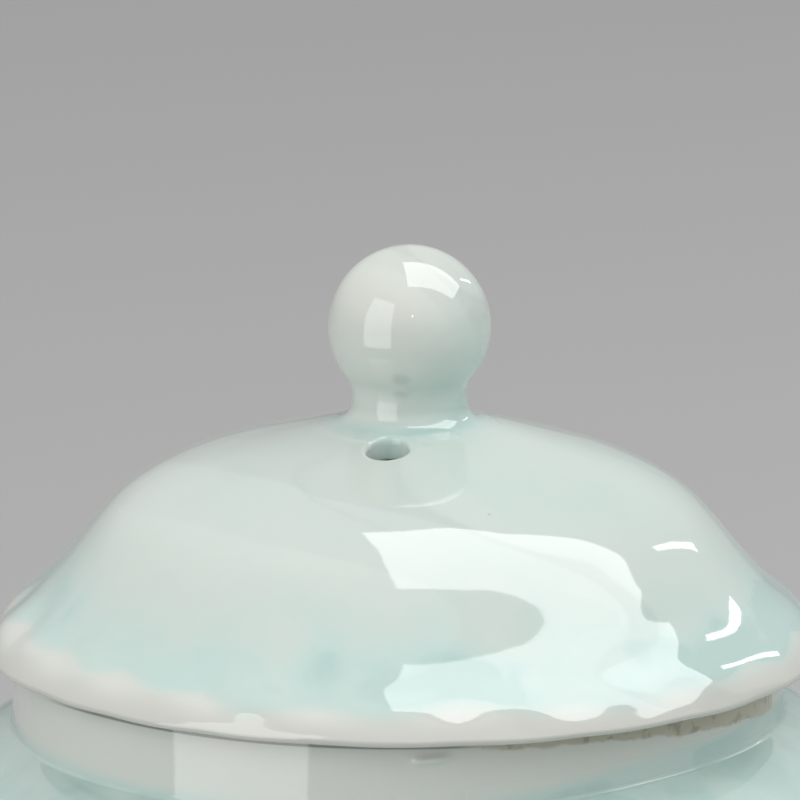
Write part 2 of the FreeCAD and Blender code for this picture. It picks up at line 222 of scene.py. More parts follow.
def shape_lid(p, nrm, outer):
    """p, nrm: points and outward normals (mm, heights above the rim plane). outer: 1 on the glazed outside."""
    r = np.hypot(p[:, 0], p[:, 1])
    radial = np.stack([p[:, 0] / np.maximum(r, 1e-6), p[:, 1] / np.maximum(r, 1e-6), 0 * r], 1)
    deg = azimuth(p)
    w, size = petal(deg)
    low = np.clip((r - 46.0) / 8.0, 0, 1)
    # the flutes run higher up the haunch on the right than at the front
    right = smooth01((deg - 33.0) / 14.0) * (1 - smooth01((deg - 90.0) / 20.0))
    start = 47.3 - 6.5 * right - 3.0 * smooth01((-deg - 45.0) / 30.0)
    swell = smooth01((r - start) / (51.0 - start)) ** 1.3 * (1 - smooth01((r - 51.2) / 2.0)) * (1 - 0.80 * right)
    edge = EDGE * smooth01((r - 50.5) / 3.0)
    q = p + radial * (edge * size * (w - 0.55))[:, None]
    q += nrm * (LOBE * size * swell * (w - 0.5) * (outer > 0.5))[:, None]
    # two finger marks on the right of the haunch and the rim
    for height, d0, dw, r0, rw in ((0.33, 40.5, 5.0, 42.2, 1.9), (0.22, 44.0, 5.0, 50.0, 1.5)):
        q += nrm * (outer * height * np.exp(-((deg - d0) / dw) ** 2 / 2 - ((r - r0) / rw) ** 2 / 2))[:, None]
    # a wider stretch of rim at the left
    q += radial * (0.55 * smooth01((r - 49.0) / 4.0) * np.exp(-((deg + 78.0) / 16.0) ** 2))[:, None]
    q[:, 2] += PINCH * size * (1 - w) * np.where(outer > 0.5, low ** 3, smooth01((r - 51.0) / 1.0))
    # the crown leans a touch with the knob
    lean = 1 - smooth01((r - 10.0) / 14.0)
    q[:, 0] += KNOB_X * np.where((outer > 0.5) | (r < 24), lean, 0.0) * (outer > 0.5)
    hand = 0.10 * ripple(p, SLOW) + 0.035 * ripple(p, MID) + 0.006 * ripple(p, FINE)
    calm = np.where(r < 11.5, 0.35, 1.0)
    q += nrm * (hand * outer * calm)[:, None]
    return q


def revolve(profile, n, start=0):
    """Grid of points (rings x n x 3) for a profile of (r, z)."""
    a = np.radians(-180.0 + 360.0 * np.arange(n) / n)
    x = profile[:, 0][:, None] * np.sin(a)
    y = -profile[:, 0][:, None] * np.cos(a)
    z = np.repeat(profile[:, 1][:, None], n, 1)
    return np.stack([x, y, z], -1)


def profile_normals(profile, n):
    t = np.gradient(profile, axis=0)
    nr = np.stack([-t[:, 1], t[:, 0]], 1)          # left of travel
    nr /= np.maximum(np.linalg.norm(nr, axis=1)[:, None], 1e-9)
    a = np.radians(-180.0 + 360.0 * np.arange(n) / n)
    return np.stack([nr[:, 0][:, None] * np.sin(a), -nr[:, 0][:, None] * np.cos(a),
                     np.repeat(nr[:, 1][:, None], n, 1)], -1)


class Builder:
    """Collects points and faces of one closed skin."""

    def __init__(self):
        self.p, self.n, self.o, self.f, self.m = [], [], [], [], []
        self.count = 0

    def points(self, p, n, outer):
        p = np.asarray(p, float).reshape(-1, 3)
        self.p.append(p)
        self.n.append(np.asarray(n, float).reshape(-1, 3))
        self.o.append(np.broadcast_to(np.asarray(outer, float), (len(p),)).copy())
        i = self.count
        self.count += len(p)
        return np.arange(i, self.count)

    def quads(self, a, b, mat=0):
        """Quads between two closed rings of the same length."""
        a2, b2 = np.roll(a, -1), np.roll(b, -1)
        for w in zip(a, b, b2, a2):
            self.f.append(w); self.m.append(mat)

    def fan(self, ring, centre, mat=0, flip=False):
        r2 = np.roll(ring, -1)
        for u, v in zip(ring, r2):
            self.f.append((u, centre, v) if not flip else (v, centre, u)); self.m.append(mat)

    def arrays(self):
        return np.concatenate(self.p), np.concatenate(self.n), np.concatenate(self.o)


def pierced(r0, n0, r1, n1, hole, radii, hole_n, step):
    """Triangulated ring between two circles with a round hole in it: 2-D points and triangles.

    The first n0 points are the inner circle, the next n1 the outer one, then
    one circle of hole_n points for each radius about the hole's centre.
    """
    a0 = np.radians(-180.0 + 360.0 * np.arange(n0) / n0)
    a1 = np.radians(-180.0 + 360.0 * np.arange(n1) / n1)
    pts = [np.stack([r0 * np.sin(a0), -r0 * np.cos(a0)], 1), np.stack([r1 * np.sin(a1), -r1 * np.cos(a1)], 1)]
    ah = 2 * np.pi * np.arange(hole_n) / hole_n
    for rad in radii:
        pts.append(np.stack([hole[0] + rad * np.cos(ah), hole[1] + rad * np.sin(ah)], 1))
    fill = []
    r = r0 + step * 0.55
    k = 0
    while r < r1 - step * 0.5:
        m = int(2 * np.pi * r / step)
        a = 2 * np.pi * (np.arange(m) + 0.5 * (k % 2)) / m
        c = np.stack([r * np.sin(a), -r * np.cos(a)], 1)
        far = np.hypot(c[:, 0] - hole[0], c[:, 1] - hole[1]) > radii[-1] + step * 0.6
        fill.append(c[far])
        r += step * 0.9; k += 1
    pts = np.concatenate(pts + fill)
    edges = [(i, (i + 1) % n0) for i in range(n0)] + [(n0 + i, n0 + (i + 1) % n1) for i in range(n1)]
    h0 = n0 + n1
    edges += [(h0 + i, h0 + (i + 1) % hole_n) for i in range(hole_n)]
    out = geometry.delaunay_2d_cdt([Vector(q) for q in pts], edges, [], 0, 1e-7)
    vs, fs, orig = out[0], out[2], out[3]
    back = {}
    for i, src in enumerate(orig):
        if src:
            back[i] = src[0]
    tris = []
    for f in fs:
        t = [back.get(i) for i in f]
        if None in t or len(t) != 3:
            continue
        c = pts[t].mean(0)
        if np.hypot(*c) < r0 * math.cos(math.pi / n0) - 1e-6 or np.hypot(c[0] - hole[0], c[1] - hole[1]) < radii[0] * math.cos(math.pi / hole_n) - 1e-6:
            continue
        a, b, c3 = pts[t]
        if (b[0] - a[0]) * (c3[1] - a[1]) - (b[1] - a[1]) * (c3[0] - a[0]) < 0:
            t = [t[0], t[2], t[1]]
        tris.append(tuple(t))
    return pts, tris


def make_object(name, p, faces, mats, mat_index=None, normals=None, attrs=None):
    me = bpy.data.meshes.new(name)
    me.from_pydata([tuple(v) for v in p * MM], [], faces)
    me.update()
    for m in mats:
        me.materials.append(m)
    if mat_index is not None:
        me.polygons.foreach_set("material_index", np.asarray(mat_index, np.int32))
    me.polygons.foreach_set("use_smooth", np.ones(len(me.polygons), bool))
    for key, val in (attrs or {}).items():
        at = me.attributes.new(key, "FLOAT", "POINT")
        at.data.foreach_set("value", np.asarray(val, np.float32))
    if normals is not None:
        me.normals_split_custom_set_from_vertices([tuple(v) for v in normals])
    me.validate()
    me.update()
    ob = bpy.data.objects.new(name, me)
    bpy.context.scene.collection.objects.link(ob)
    return ob


def vertex_normals(p, faces):
    """Angle-weighted vertex normals, so that a split skin shades as one."""
    n = np.zeros_like(p)
    by = {}
    for f in faces:
        by.setdefault(len(f), []).append(f)
    for k, fs in by.items():
        fs = np.array(fs)
        for j in range(k):
            a, b, c = p[fs[:, j]], p[fs[:, (j + 1) % k]], p[fs[:, (j - 1) % k]]
            u, v = b - a, c - a
            cr = np.cross(u, v)
            ln = np.linalg.norm(cr, axis=1)
            ang = np.arctan2(ln, (u * v).sum(1))
            np.add.at(n, fs[:, j], cr / np.maximum(ln, 1e-12)[:, None] * ang[:, None])
    return n / np.maximum(np.linalg.norm(n, axis=1)[:, None], 1e-12)


def compact(p, faces):
    used = np.unique(np.concatenate([np.array(f) for f in faces]))
    remap = -np.ones(len(p), int)
    remap[used] = np.arange(len(used))
    return used, [tuple(int(remap[i]) for i in f) for f in faces]


# --------------------------------------------------------------- lid: knob and dome as one skin, then parted at SPLIT_R
N_LID, N_KNOB, N_VENT = 600, 360, 96
F_OUT, F_IN = 0.65, 0.5            # glaze rounding of the vent's upper and lower edge
B = Builder()

kp = knob_profile()                # from the top of the ball down to the split ring
knob_rings = []
grid, nrm = revolve(kp[1:], N_KNOB), -profile_normals(kp, N_KNOB)[1:]
if (nrm[0][:, 2].mean()) < 0:
    nrm = -nrm
top_i = B.points([[0, 0, kp[0][1]]], [[0, 0, 1]], 1)[0]
for ring, rn in zip(grid, nrm):
    knob_rings.append(B.points(ring, rn, 1))
B.fan(knob_rings[0], top_i, flip=True)
for a, b in zip(knob_rings[:-1], knob_rings[1:]):
    B.quads(a, b)
for f in range(len(B.f)):          # faces stay as they are here; orient() below turns them outward
    B.f[f] = B.f[f]
knob_faces = len(B.f)

# crown patch with the vent; its inner circle is the knob's last ring
hole = (VENT[0] - 0.45, VENT[1])
t = np.linspace(0, math.pi / 2, 9)
radii = [VENT_R + F_OUT * (1 - math.cos(x)) for x in t] + [VENT_R + F_OUT + d for d in (0.22, 0.48)]
pts, tris = pierced(SPLIT_R, N_KNOB, PATCH_R, N_LID, hole, radii, N_VENT, 0.42)


def crown_height(q, zf, a, f, sign):
    r = np.hypot(q[:, 0], q[:, 1])
    z = zf(r)
    d = np.hypot(q[:, 0] - hole[0], q[:, 1] - hole[1])
    inside = np.clip(a + f - d, 0, f)
    return z - sign * (f - np.sqrt(np.maximum(f * f - inside ** 2, 0)))


z = crown_height(pts, flare_z, VENT_R, F_OUT, 1)
patch = np.column_stack([pts, z])
slope = (flare_z(np.hypot(pts[:, 0], pts[:, 1]) + 0.01) - flare_z(np.hypot(pts[:, 0], pts[:, 1]) - 0.01)) / 0.02
rad = pts / np.hypot(pts[:, 0], pts[:, 1])[:, None]
pn = np.column_stack([-slope[:, None] * rad, np.ones(len(pts))])
pn /= np.linalg.norm(pn, axis=1)[:, None]
idx = np.empty(len(pts), int)
idx[:N_KNOB] = knob_rings[-1]
idx[N_KNOB:] = B.points(patch[N_KNOB:], pn[N_KNOB:], 1)
for f in tris:
    B.f.append(tuple(int(idx[i]) for i in f)); B.m.append(0)
outer_ring = idx[N_KNOB:N_KNOB + N_LID]
vent_top = idx[N_KNOB + N_LID:N_KNOB + N_LID + N_VENT]

# haunch, flare, rolled rim, underside, seat, step
rp, n_out = rim_profile()
grid, nrm = revolve(rp, N_LID), profile_normals(rp, N_LID)
if nrm[0][:, 2].mean() < 0:
    nrm = -nrm
prev = outer_ring
for i in range(1, len(rp)):
    ring = B.points(grid[i], nrm[i], 1.0 if i <= n_out else 0.0)
    B.quads(prev, ring, mat=1 if 2.0 - 1e-6 <= rp[i][1] and i > n_out and rp[i][0] > 41.9 else 0)
    prev = ring

# inside of the dome, from the step up to the patch under the crown
ip = curve_points([q for q in INNER if q[0] >= PATCH_R - 1e-9], 60)
ip = np.concatenate([ip, [[PATCH_R, float(inner_z(PATCH_R))]]])[:-1] if abs(ip[-1][0] - PATCH_R) < 1e-6 else ip
ip[-1] = (PATCH_R, float(inner_z(PATCH_R)))
grid = revolve(ip, N_LID)
for i in range(1, len(ip)):
    ring = B.points(grid[i], np.tile([0, 0, -1.0], (N_LID, 1)), 0)
    B.quads(prev, ring)
    prev = ring
radii_in = [VENT_R + F_IN * (1 - math.cos(x)) for x in np.linspace(0, math.pi / 2, 6)] + [VENT_R + F_IN + 0.4]
N_CORE = 96
pts, tris = pierced(4.0, N_CORE, PATCH_R, N_LID, hole, radii_in, N_VENT, 0.8)
z = crown_height(pts, inner_z, VENT_R, F_IN, -1)
idx = np.empty(len(pts), int)
idx[N_CORE:N_CORE + N_LID] = prev
sel = np.r_[0:N_CORE, N_CORE + N_LID:len(pts)]
idx[sel] = B.points(np.column_stack([pts, z])[sel], np.tile([0, 0, -1.0], (len(sel), 1)), 0)
for f in tris:
    B.f.append((int(idx[f[0]]), int(idx[f[2]]), int(idx[f[1]]))); B.m.append(0)
core = idx[:N_CORE]
vent_low = idx[N_CORE + N_LID:N_CORE + N_LID + N_VENT]
mid = B.points(revolve(np.array([[2.0, float(inner_z(2.0))]]), N_CORE)[0], np.tile([0, 0, -1.0], (N_CORE, 1)), 0)
B.quads(core, mid)
c = B.points([[0, 0, float(inner_z(0.0))]], [[0, 0, -1.0]], 0)[0]
B.fan(mid, c)

# wall of the vent
pa, _, _ = B.arrays()
prev = vent_top
for k in range(1, 10):
    u = k / 10.0
    ring = B.points(pa[vent_top] * (1 - u) + pa[vent_low] * u, np.zeros((N_VENT, 3)), 0)
    B.quads(prev, ring); prev = ring
B.quads(prev, vent_low)

P, Nn, O = B.arrays()
# the hollow of the vent follows the crown's lean: treat every point within the vent as outside
near = np.hypot(P[:, 0] - hole[0], P[:, 1] - hole[1]) < VENT_R + F_OUT + 0.8
O_shape = np.where(near & (P[:, 2] > 10), 1.0, O)
Q0 = shape_lid(P, Nn, O_shape)
FACES = B.f


def orient(p, faces, probe):
    """Make every face look away from the clay, walking from one face across shared edges."""
    import collections
    edge = collections.defaultdict(list)
    for i, f in enumerate(faces):
        for a, b in zip(f, f[1:] + f[:1]):
            edge[(min(a, b), max(a, b))].append(i)
    seen = np.zeros(len(faces), bool)
    out = list(faces)
    stack = [probe]
    seen[probe] = True
    while stack:
        i = stack.pop()
        f = out[i]
        for a, b in zip(f, f[1:] + f[:1]):
            for j in edge[(min(a, b), max(a, b))]:
                if j == i or seen[j]:
                    continue
                g = out[j]
                same = any((x, y) == (a, b) for x, y in zip(g, g[1:] + g[:1]))
                out[j] = g[::-1] if same else g
                seen[j] = True
                stack.append(j)
    return out, bool(seen.all())


FACES = [tuple(int(x) for x in f) for f in FACES]
FACES, all_seen = orient(Q0, FACES, 0)
f0 = FACES[0]
n0 = np.cross(Q0[f0[1]] - Q0[f0[0]], Q0[f0[2]] - Q0[f0[0]])
if n0[2] < 0:
    FACES = [f[::-1] for f in FACES]
print("lid skin:", len(Q0), "points", len(FACES), "faces, one skin:", all_seen)
VN = vertex_normals(Q0, FACES)


# --------------------------------------------------------------- materials
class Nodes:
    """Short calls for building one material's node tree."""

    def __init__(self, name):
        self.mat = bpy.data.materials.new(name)
        self.mat.use_nodes = True
        self.t = self.mat.node_tree
        self.t.nodes.clear()
        self.out = self.t.nodes.new("ShaderNodeOutputMaterial")

    def new(self, kind, **props):
        n = self.t.nodes.new(kind)
        for k, v in props.items():
            setattr(n, k, v)
        return n

    def put(self, socket, v):
        if isinstance(v, bpy.types.NodeSocket):
            self.t.links.new(v, socket)
        elif v is not None:
            socket.default_value = v

    def math(self, op, a, b=None, c=None, clamp=False):
        n = self.new("ShaderNodeMath", operation=op, use_clamp=clamp)
        self.put(n.inputs[0], a); self.put(n.inputs[1], b)
        if c is not None:
            self.put(n.inputs[2], c)
        return n.outputs[0]

    def remap(self, v, a, b, c=0.0, d=1.0, smooth=True):
        n = self.new("ShaderNodeMapRange", interpolation_type="SMOOTHSTEP" if smooth else "LINEAR")
        self.put(n.inputs["Value"], v)
        for k, x in zip(("From Min", "From Max", "To Min", "To Max"), (a, b, c, d)):
            self.put(n.inputs[k], x)
        return n.outputs["Result"]

    def noise(self, co, scale, detail=2.0, rough=0.5, dist=0.0, w=None):
        n = self.new("ShaderNodeTexNoise", noise_dimensions="4D" if w is not None else "3D")
        self.put(n.inputs["Vector"], co)
        n.inputs["Scale"].default_value = scale
        n.inputs["Detail"].default_value = detail
        n.inputs["Roughness"].default_value = rough
        n.inputs["Distortion"].default_value = dist
        if w is not None:
            n.inputs["W"].default_value = w
        return n.outputs["Fac"] if "Fac" in n.outputs else n.outputs[0]

    def curve(self, v, pts, lo, hi):
        """Smooth curve through (value, result) points, for values from lo to hi."""
        n = self.new("ShaderNodeFloatCurve")
        self.put(n.inputs["Value"], self.remap(v, lo, hi, smooth=False))
        cm = n.mapping
        c = cm.curves[0]
        q = [((x - lo) / (hi - lo), y) for x, y in pts]
        c.points[0].location = q[0]
        c.points[-1].location = q[-1]
        for x, y in q[1:-1]:
            c.points.new(x, y)
        cm.update()
        return n.outputs[0]

    def mix(self, f, a, b):
        n = self.new("ShaderNodeMix", data_type="RGBA")
        self.put(n.inputs[0], f)
        for sock, v in ((n.inputs[6], a), (n.inputs[7], b)):
            self.put(sock, v if isinstance(v, bpy.types.NodeSocket) else (*v, 1.0) if v is not None else None)
        return n.outputs[2]


WHITE = (0.680, 0.703, 0.650)      # thin glaze over white clay
AQUA = (0.505, 0.670, 0.632)       # the same glaze where it lies thick
DEEP = (0.340, 0.480, 0.445)       # in the tightest hollows
CLAY = (0.560, 0.500, 0.420)       # bare fired clay


def glaze(name, where):
    k = Nodes(name)
    co = k.new("ShaderNodeTexCoord").outputs["Object"]
    xyz = k.new("ShaderNodeSeparateXYZ")
    k.put(xyz.inputs[0], co)
    x, y, zz = xyz.outputs
    r = k.math("MULTIPLY", k.math("SQRT", k.math("ADD", k.math("MULTIPLY", x, x), k.math("MULTIPLY", y, y))), 1000.0)
    z = k.math("MULTIPLY", zz, 1000.0)
    blot = k.noise(co, 62.0, 3.0, 0.55, 0.4)
    fine = k.noise(co, 240.0, 3.0, 0.6, 0.0)
    big = k.noise(co, 17.0, 2.0, 0.5, 0.2)
    if where == "lid":
        at = k.new("ShaderNodeAttribute", attribute_name="petal")
        pet = at.outputs["Fac"]
        # the border between the pooled band and the bare-looking edge is scalloped
        rr = k.math("ADD", r, k.math("MULTIPLY", k.math("SUBTRACT", 0.5, pet), 1.5))
        rr = k.math("ADD", rr, k.remap(x, -0.022, -0.040, 0.0, 1.1))
        rr = k.math("ADD", rr, k.remap(x, 0.010, 0.040, 0.0, -0.6))
        rr = k.math("ADD", rr, k.math("MULTIPLY", k.math("SUBTRACT", blot, 0.5), 3.4))
        rr = k.math("ADD", rr, k.math("MULTIPLY", k.math("SUBTRACT", fine, 0.5), 0.7))
        pool = k.curve(rr, [(0, .42), (6, .50), (8.4, .95), (10.2, .66), (13, .46), (19, .42), (26, .44), (33, .42),
                            (38, .38), (42, .50), (45, .72), (47.5, .94), (49.9, .94), (51.2, .55), (52.2, .14), (53.4, .02), (60, .0)], 0, 60)
        # more of it ran to the +X side
        pool = k.math("ADD", pool, k.remap(x, -0.050, 0.050, -0.16, 0.14, smooth=False))
        # the ball: thin on its top, thicker below its equator and round the neck, most on the +X side
        ball = k.curve(z, [(188, .46), (190.5, .47), (193, .45), (196, .41), (199, .32), (202, .18), (206, .06), (210, .10), (213, .16)], 188, 213)
        ball = k.math("MULTIPLY", k.math("ADD", ball, k.remap(x, 0.001, 0.010, 0.0, 0.20)), k.remap(x, -0.009, 0.009, 0.50, 1.35))
        on_knob = k.remap(z, 189.6, 191.0)
        pool = k.math("ADD", k.math("MULTIPLY", pool, k.math("SUBTRACT", 1.0, on_knob)), k.math("MULTIPLY", ball, on_knob))
        inside = k.new("ShaderNodeAttribute", attribute_name="outer").outputs["Fac"]
    else:
        lift = k.remap(x, -0.004, 0.046, 0.0, -4.6)
        zj = k.math("ADD", k.math("ADD", z, lift), k.math("MULTIPLY", k.math("SUBTRACT", blot, 0.5), 2.2))
        pool = k.curve(zj, [(0, .75), (4, .85), (8, .70), (30, .45), (70, .42), (110, .50), (132, .74), (143, .96), (149.4, .96),
                            (150.9, .62), (152.2, .16), (156, .08), (160, .10), (162, .02), (166, .02)], 0, 166)
        inside = k.new("ShaderNodeAttribute", attribute_name="outer").outputs["Fac"]
    pool = k.math("ADD", pool, k.math("MULTIPLY", k.math("SUBTRACT", blot, 0.5), k.math("MULTIPLY", pool, 1.25)))
    pool = k.math("ADD", pool, k.math("MULTIPLY", k.math("SUBTRACT", big, 0.5), 0.22))
    pool = k.math("ADD", pool, k.math("MULTIPLY", k.math("SUBTRACT", fine, 0.5), 0.10), clamp=True)
    col = k.mix(pool, WHITE, AQUA)
    col = k.mix(k.remap(pool, 0.82, 1.15, 0.0, 0.45), col, DEEP)
    if where == "lid":
        edge = k.math("MULTIPLY", k.remap(k.math("ADD", r, k.math("MULTIPLY", k.math("SUBTRACT", blot, 0.5), 2.0)), 51.0, 53.6), k.remap(z, 165.0, 168.0, 1.0, 0.0))
        col = k.mix(k.math("MULTIPLY", edge, 0.85), col, (0.585, 0.590, 0.545))
    if where == "jar":
        # a dull tan strip on the neck under the lid, from the front round to the right: partly a stain where the glaze
        # was wiped back, partly painted shade of the lid's rim, widening to the right as that shadow does
        az = k.math("ARCTAN2", k.math("ADD", x, 0.0009), k.math("MULTIPLY", y, -1.0))
        low = k.curve(k.math("MULTIPLY", az, 57.2958), [(0, .95), (9, .885), (20, .83), (30, .80), (40, .74), (50, .66), (60, .585), (66, .54), (73, .50), (90, .50)], 0, 90)
        low = k.math("ADD", k.math("MULTIPLY", low, 10.0), k.math("ADD", 150.0, k.math("MULTIPLY", k.math("SUBTRACT", fine, 0.5), 1.6)))
        band = k.math("MULTIPLY", k.remap(k.math("SUBTRACT", z, low), -0.25, 0.25), k.remap(az, math.radians(6), math.radians(12)))
        band = k.math("MULTIPLY", band, k.remap(az, math.radians(72.6), math.radians(73.6), 1.0, 0.0))
        band = k.math("MULTIPLY", band, k.remap(z, 160.6, 161.2, 1.0, 0.0))
        # dark tan of the stain together with the painted shade under the rim
        tan = k.mix(k.remap(k.noise(co, 520.0, 3.0, 0.6), 0.52, 0.66), (0.47, 0.455, 0.335), (0.31, 0.29, 0.21))
        col = k.mix(k.math("MULTIPLY", band, 0.88), col, tan)
        # painted shade: a grey line on the neck just under the lid's edge, on the left and at the front, where the rim
        # shades the narrow gap
        top = k.curve(k.math("MULTIPLY", az, -57.2958), [(-14, .917), (0, .920), (20, .917), (40, .910), (50, .898), (60, .855), (70, .76), (90, .70)], -14, 90)
        top = k.math("ADD", k.math("MULTIPLY", top, 10.0), 150.0)
        gap = k.remap(k.math("SUBTRACT", z, top), -0.46, -0.26)
        gap = k.math("MULTIPLY", gap, k.remap(az, math.radians(-66), math.radians(-50)))
        gap = k.math("MULTIPLY", gap, k.remap(az, math.radians(7), math.radians(12), 1.0, 0.0))
        gap = k.math("MULTIPLY", gap, k.remap(z, 160.6, 161.2, 1.0, 0.0))
        # dark grey of the painted contact shade in the gap
        col = k.mix(k.math("MULTIPLY", gap, 0.80), col, (0.20, 0.195, 0.17))
    # pinholes and iron specks in the glaze, about 0.2 mm, few
    v = k.new("ShaderNodeTexVoronoi", feature="F1")
    k.put(v.inputs["Vector"], co)
    v.inputs["Scale"].default_value = 190.0
    rare = k.math("GREATER_THAN", k.new_rgb(v.outputs["Color"]), 0.985)
    speck = k.math("MULTIPLY", k.remap(v.outputs["Distance"], 0.030, 0.055, 1.0, 0.0), rare)
    col = k.mix(k.math("MULTIPLY", speck, 0.30), col, (0.16, 0.15, 0.12))
    bsdf = k.new("ShaderNodeBsdfPrincipled")
    k.put(bsdf.inputs["Base Color"], col)
    rough = k.math("ADD", 0.035, k.math("MULTIPLY", fine, 0.035))
    if where == "jar":
        # glaze dulled where the neck meets the shoulder on the right
        seam = k.math("SUBTRACT", z, k.math("ADD", 152.1, k.remap(x, -0.004, 0.042, 0.0, 2.0)))
        seam = k.math("MULTIPLY", k.remap(k.math("ABSOLUTE", seam), 0.9, 1.8, 1.0, 0.0), k.remap(x, 0.0, 0.016))
        rough = k.math("ADD", rough, k.math("MULTIPLY", seam, 0.5))
    k.put(bsdf.inputs["Roughness"], rough)
    bsdf.inputs["IOR"].default_value = 1.56
    bsdf.inputs["Specular IOR Level"].default_value = 0.62
    bsdf.inputs["Subsurface Weight"].default_value = 0.0
    bsdf.inputs["Coat Weight"].default_value = 0.35
    bsdf.inputs["Coat Roughness"].default_value = 0.04
    h = k.math("ADD", k.math("MULTIPLY", k.noise(co, 130.0, 2.0, 0.45), 1.0), k.math("MULTIPLY", k.noise(co, 420.0, 2.0, 0.5), 0.22))
    h = k.math("SUBTRACT", h, k.math("MULTIPLY", speck, 0.7))
    b = k.new("ShaderNodeBump")
    b.inputs["Strength"].default_value = 1.0
    b.inputs["Distance"].default_value = 0.000032
    k.put(b.inputs["Height"], h)
    k.put(bsdf.inputs["Normal"], b.outputs["Normal"])
    k.put(k.out.inputs["Surface"], bsdf.outputs[0])
    return k.mat


def _new_rgb(self, color):
    n = self.new("ShaderNodeSeparateColor")
    self.put(n.inputs[0], color)
    return n.outputs[0]


Nodes.new_rgb = _new_rgb


def bisque(name):
    k = Nodes(name)
    co = k.new("ShaderNodeTexCoord").outputs["Object"]
    grain = k.noise(co, 900.0, 4.0, 0.65)
    tone = k.noise(co, 70.0, 3.0, 0.55)
    col = k.mix(k.remap(tone, 0.3, 0.7), CLAY, (0.66, 0.62, 0.55))
    col = k.mix(k.math("MULTIPLY", k.remap(grain, 0.56, 0.72), 0.35), col, (0.36, 0.27, 0.19))
    bsdf = k.new("ShaderNodeBsdfPrincipled")
    k.put(bsdf.inputs["Base Color"], col)
    k.put(bsdf.inputs["Roughness"], k.remap(grain, 0.2, 0.8, 0.68, 0.9))
    bsdf.inputs["IOR"].default_value = 1.45
    b = k.new("ShaderNodeBump")
    b.inputs["Strength"].default_value = 0.8
    b.inputs["Distance"].default_value = 0.00008
    k.put(b.inputs["Height"], grain)
    k.put(bsdf.inputs["Normal"], b.outputs["Normal"])
    k.put(k.out.inputs["Surface"], bsdf.outputs[0])
    return k.mat


M_LID, M_JAR, M_BARE = glaze("glaze_lid", "lid"), glaze("glaze_jar", "jar"), bisque("bare_porcelain")

# --------------------------------------------------------------- lid objects
SHIFT = np.array([0, 0, RIM_Z])
pet, _ = petal(azimuth(P))
pet = 0.5 + (pet - 0.5) * np.clip((np.hypot(P[:, 0], P[:, 1]) - 40) / 10, 0, 1)


def lid_piece(name, lo, hi, cap_z, cap_r):
    faces = FACES[lo:hi]
    mats = B.m[lo:hi]
    used, faces = compact(Q0, faces)
    ring = [int(np.where(used == i)[0][0]) for i in knob_rings[-1]]
    p = np.concatenate([Q0[used], [[KNOB_X, 0, cap_z]]]) + SHIFT
    n = np.concatenate([VN[used], [[0, 0, 1.0 if cap_r else -1.0]]])
    c = len(p) - 1
    edges = {(a, b) for f in faces for a, b in zip(f, f[1:] + f[:1])}
    for a, b in zip(ring, ring[1:] + ring[:1]):
        f = (b, a, c) if (a, b) in edges else (a, b, c)
        faces.append(f); mats.append(0)
    at = {"petal": np.append(pet[used], 0.5), "outer": np.append(O[used], 0.0)}
    return make_object(name, p, faces, [M_LID, M_BARE], mats, n, at)


knob_ob = lid_piece("lid_knob_glazed", 0, knob_faces, 29.2, False)
dome_ob = lid_piece("lid_dome_glazed", knob_faces, len(FACES), 28.9, True)


def turned_object(name, profile, n, mats, mat_of=None, shape=None, close_axis=True, attrs=None):
    """Closed skin of revolution: the profile runs round the section; ends on the axis are closed with fans."""
    nr = profile_normals(profile, n)
    on_axis = [i for i in (0, len(profile) - 1) if profile[i][0] < 1e-6]
    b = Builder()
    rings = []
    g = revolve(profile, n)
    for i in range(len(profile)):
        if i in on_axis:
            rings.append(int(b.points([[0, 0, profile[i][1]]], [[0, 0, 1.0]], 1)[0]))
        else:
            rings.append(b.points(g[i], nr[i], 1))
    for i in range(len(profile) - 1):
        u, v = rings[i], rings[i + 1]
        m = mat_of(profile[i], profile[i + 1], i) if mat_of else 0
        if isinstance(u, int):
            b.fan(v, u, m)
        elif isinstance(v, int):
            b.fan(u, v, m)
        else:
            b.quads(u, v, m)
    if not on_axis:
        b.quads(rings[-1], rings[0], mat_of(profile[-1], profile[0], len(profile)) if mat_of else 0)
    p, nn, o = b.arrays()
    faces = [tuple(int(x) for x in f) for f in b.f]
    faces, _ = orient(p, faces, 0)
    q = shape(p, nn) if shape else p
    vol = 0.0
    for f in faces[::7]:
        vol += float(np.dot(q[f[0]], np.cross(q[f[1]], q[f[2]])))
    if vol < 0:
        faces = [f[::-1] for f in faces]
    return make_object(name, q, faces, mats, b.m, vertex_normals(q, faces), attrs(q) if attrs else None)


# locating flange, luted under the dome with a small fillet of slip
fp = chain(seg((42.0, 165.0), (42.0, 153.9), 14), arc(42.9, 153.9, 0.9, 180, 270, 6),
           arc(44.0, 154.0, 1.0, 270, 360, 7), seg((45.0, 154.0), (45.0, 161.3), 12),
           arc(45.6, 161.3, 0.6, 180, 98, 6), seg((45.6, 161.97), (45.0, 165.0), 3))
flange_ob = turned_object("lid_flange_bare", fp, 480, [M_BARE])

# --------------------------------------------------------------- jar
SC, SR_ = (29.7, 102.9), 51.3
LC, LR_ = (-59.0, 102.9), 140.0
WX, WR_ = 118.5, 70.0
WZ = 102.9 - math.sqrt((LR_ + WR_) ** 2 - (WX - LC[0]) ** 2)
FIL, IFIL, WALL = 0.9, 4.0, 4.0
NX = 49.8 + FIL
NZ = 102.9 + math.sqrt((SR_ + FIL) ** 2 - (NX - SC[0]) ** 2)
IX = 45.9 + IFIL
IZ = 102.9 + math.sqrt((SR_ - WALL + IFIL) ** 2 - (IX - SC[0]) ** 2)


def ang(c, p):
    return math.degrees(math.atan2(p[1] - c[1], p[0] - c[0]))


def meet(c1, c2, r1, r2):
    f = r1 / (r1 + r2)
    return (c1[0] + (c2[0] - c1[0]) * f, c1[1] + (c2[1] - c1[1]) * f)


